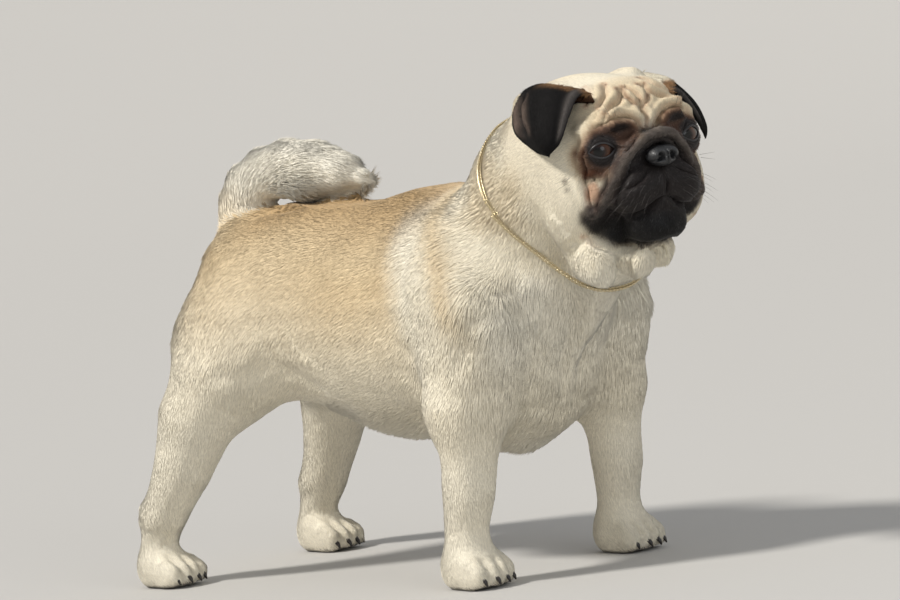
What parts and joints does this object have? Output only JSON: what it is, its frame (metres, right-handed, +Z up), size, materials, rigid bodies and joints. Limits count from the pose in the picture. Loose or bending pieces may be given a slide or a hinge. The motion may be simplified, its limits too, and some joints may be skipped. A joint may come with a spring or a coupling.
{
  "type": "pug dog figure",
  "caption": "Life-size standing pug: square cobby body, tail curled over the back, wrinkled short-muzzled head turned aside, folded ears, fine chain collar.",
  "frame": {"origin": "on the floor, under the middle of the whole dog's bounding box", "axes": "+X towards the dog's front along its body, +Y to its own left, +Z up"},
  "size_m": [0.4968, 0.2122, 0.3477],
  "materials": {
    "coat_fawn": "short dense fawn coat with dark-tipped hairs along the saddle",
    "coat_cream": "short dense cream coat, paler on the legs, chest and tail",
    "mask": "very short black mask with grey along the folds",
    "ear_velvet": "soft black velvety ear",
    "nose_leather": "moist pebbled black nose leather, and dark claws",
    "eye": "wet dark brown eye",
    "collar_metal": "polished fine snake chain with a small ring"
  },
  "bodies": {
    "root": {"head": "coat_fawn", "muzzle": "mask", "lower_jaw": "mask", "nose": "nose_leather", "eye_left": "eye", "eye_right": "eye", "ear_left": "ear_velvet", "ear_right": "ear_velvet", "neck": "coat_cream", "torso": "coat_fawn", "tail_base": "coat_cream", "tail_curl": "coat_cream", "foreleg_left": "coat_cream", "foreleg_right": "coat_cream", "hind_leg_left": "coat_cream", "hind_leg_right": "coat_cream", "paw_front_left": "coat_cream", "paw_front_right": "coat_cream", "paw_hind_left": "coat_cream", "paw_hind_right": "coat_cream", "collar": "collar_metal", "collar_ring": "collar_metal"}
  },
  "joints": []
}
